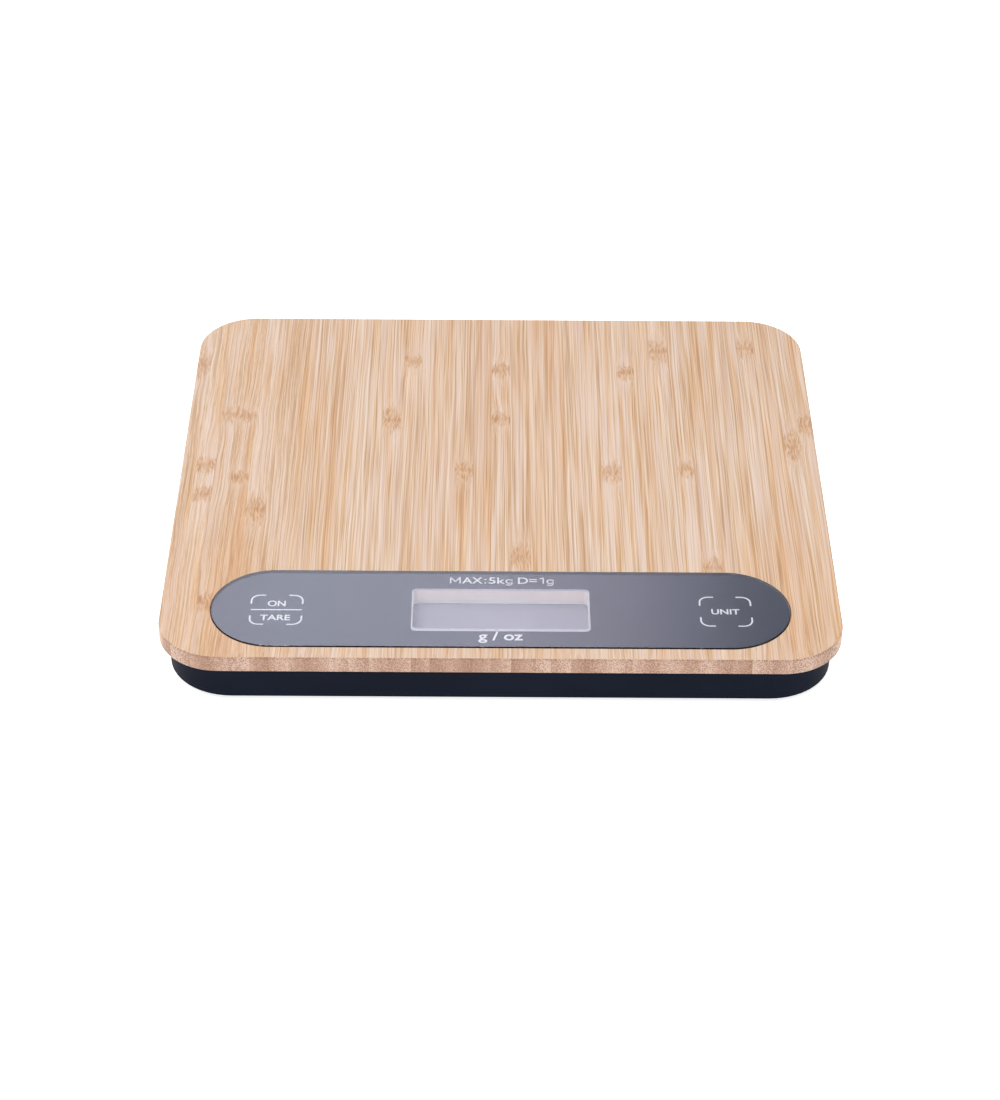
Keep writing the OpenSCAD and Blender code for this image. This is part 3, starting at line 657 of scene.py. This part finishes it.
def add_marks():
    """Touch-key brackets, the words of the keys, the capacity, the division and the units."""
    paint = mark_paint()
    front = GLASS_LOW.y / MM
    key_x, key_y = 66.0, front + 17.8
    line_mark("on_key_brackets", brackets((-key_x + 0.15, key_y), 15.6, 14.6), paint)
    line_mark("on_key_divider", [[(-key_x - 7.1, key_y), (-key_x + 7.4, key_y)]], paint)
    line_mark("unit_key_brackets", brackets((key_x + 0.1, key_y + 0.3), 15.5, 14.5), paint)
    word_mark("on_word", "ON", (-key_x + 0.1, key_y + 3.1), 5.3, 2.75, paint)
    word_mark("tare_word", "TARE", (-key_x, key_y - 3.7), 8.85, 2.65, paint)
    word_mark("unit_word", "UNIT", (key_x, key_y + 0.3), 8.3, 2.55, paint)

    # The capacity line. The font's M, 1 and g don't suit this light weight, so those are drawn
    base, cap = front + 31.2, 3.25
    for i, (text, x, width) in enumerate((("AX", -8.4, 6.05), ("5k", -1.13, 4.9), ("D=", 7.94, 5.56))):
        word_mark(f"capacity_letters_{i}", text, (x, base + cap / 2), width, cap, paint, weight=0.008)
    stroke = 0.4
    low, high = base + stroke / 2, base + cap - stroke / 2
    drawn = strokes((-14.88, low), (-14.88, high), (-13.5, base + 0.8), (-12.1, high), (-12.1, low))
    drawn += [[(-4.75, base + height), (-4.45, base + height)] for height in (0.3, 2.0)]
    drawn += strokes((11.75, high - 0.6), (12.65, high), (12.65, low))
    drawn += small_g(2.48, base) + small_g(14.7, base)
    line_mark("drawn_letters", drawn, paint, stroke)

    word_mark("unit_names", "g / oz", (0.0, front + 5.9), 13.0, 4.1, paint)


# ---- Edges ----

def add_gap_shadow_ring():
    """A thin black ring in the gap between the glass and its pocket, a painted shadow of the gap."""
    inner, outer, below_top = 0.02 * MM, 0.1 * MM, 0.12 * MM
    half_w, radius = (GLASS_HIGH.x - GLASS_LOW.x) / 2, (GLASS_HIGH.y - GLASS_LOW.y) / 2
    middle = (GLASS_LOW + GLASS_HIGH) / 2
    heights = (GLASS_LOW.z, GLASS_HIGH.z - below_top)
    steps = 48
    vertices = []
    for k in range(2 * steps):
        angle = math.pi * (k % steps) / (steps - 1) - math.pi / 2 + (math.pi if k >= steps else 0)
        centre_x = (half_w - radius) * (1 if k < steps else -1)
        for reach in (radius + inner, radius + outer):
            place = (middle.x + centre_x + reach * math.cos(angle), middle.y + reach * math.sin(angle))
            vertices += [(*place, height) for height in heights]
    faces = []
    count = 2 * steps
    for k in range(count):
        near, far = 4 * k, 4 * ((k + 1) % count)
        for a, b in ((0, 1), (1, 3), (3, 2), (2, 0)):
            faces.append((near + a, near + b, far + b, far + a))
    mesh = bpy.data.meshes.new("gap_shadow_ring")
    mesh.from_pydata(vertices, [], faces)
    piece = bpy.data.objects.new("gap_shadow_ring", mesh)
    bpy.context.collection.objects.link(piece)
    # Its near-black colour is painted shadow in the gap
    piece.data.materials.append(plastic("gap_shadow_ring", (0.012, 0.012, 0.015), rough=0.4))
    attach(piece, "case")


def soften_edges(node, width_mm, segments=3, angle=40):
    """Rounds a CAD node's sharp edges with a bevel modifier."""
    bevel = frame["nodes"][node].modifiers.new("rounded_edges", "BEVEL")
    bevel.width = width_mm * MM
    bevel.segments = segments
    bevel.limit_method = "ANGLE"
    bevel.angle_limit = math.radians(angle)
    bevel.harden_normals = True


# ---- Scene ----

def studio_world():
    """Soft white surroundings with one large softbox behind, which fades out just right of the middle."""
    ambient = (0.52, 0.52, 0.53)
    world = bpy.data.worlds.new("studio")
    bpy.context.scene.world = world
    world.use_nodes = True
    tree = world.node_tree
    tree.nodes.clear()
    out = tree.nodes.new("ShaderNodeOutputWorld")
    glow = tree.nodes.new("ShaderNodeBackground")
    tree.links.new(glow.outputs[0], out.inputs[0])
    coords = tree.nodes.new("ShaderNodeTexCoord")
    split = tree.nodes.new("ShaderNodeSeparateXYZ")
    tree.links.new(coords.outputs["Generated"], split.inputs[0])

    def ease(value, start, end):
        node = tree.nodes.new("ShaderNodeMapRange")
        node.interpolation_type = "SMOOTHSTEP"
        node.inputs[1].default_value = start
        node.inputs[2].default_value = end
        tree.links.new(value, node.inputs[0])
        return node.outputs[0]

    def combine(operation, a, b):
        node = tree.nodes.new("ShaderNodeMath")
        node.operation = operation
        for socket, value in zip(node.inputs, (a, b)):
            if isinstance(value, float):
                socket.default_value = value
            else:
                tree.links.new(value, socket)
        return node.outputs[0]

    across, ahead, up = split.outputs
    box = combine("MULTIPLY", ease(across, -0.55, -0.35), ease(ahead, 0.1, 0.3))
    box = combine("MULTIPLY", box, combine("MULTIPLY", ease(up, 0.30, 0.46), ease(up, 0.84, 0.74)))
    fade = tree.nodes.new("ShaderNodeValToRGB")
    stops = [(0.40, (1.6, 1.55, 1.95)), (0.43, (1.72, 1.80, 2.22)), (0.50, (1.76, 1.73, 2.15)),
             (0.535, (1.42, 1.38, 1.75)), (0.55, (1.2, 1.16, 1.5)), (0.573, (0.72, 0.72, 0.98)),
             (0.586, (0.42, 0.44, 0.6)), (0.60, (0.26, 0.3, 0.42)), (0.75, ambient)]
    while len(fade.color_ramp.elements) < len(stops):
        fade.color_ramp.elements.new(1.0)
    for element, (place, colour) in zip(fade.color_ramp.elements, stops):
        element.position = place
        element.color = (*colour, 1.0)
    tree.links.new(combine("ADD", across, 0.5), fade.inputs[0])
    colour = tree.nodes.new("ShaderNodeMix")
    colour.data_type = "RGBA"
    tree.links.new(box, colour.inputs["Factor"])
    colour.inputs[6].default_value = (*ambient, 1.0)
    tree.links.new(fade.outputs[0], colour.inputs[7])
    tree.links.new(colour.outputs[2], glow.inputs["Color"])


def build():
    bpy.context.scene.view_settings.view_transform = "Standard"
    add_camera()
    studio_world()
    add_softbox()
    add_floor()
    dress_nodes()
    soften_edges("display_glass", 0.1)
    add_gap_shadow_ring()
    add_marks()


build()
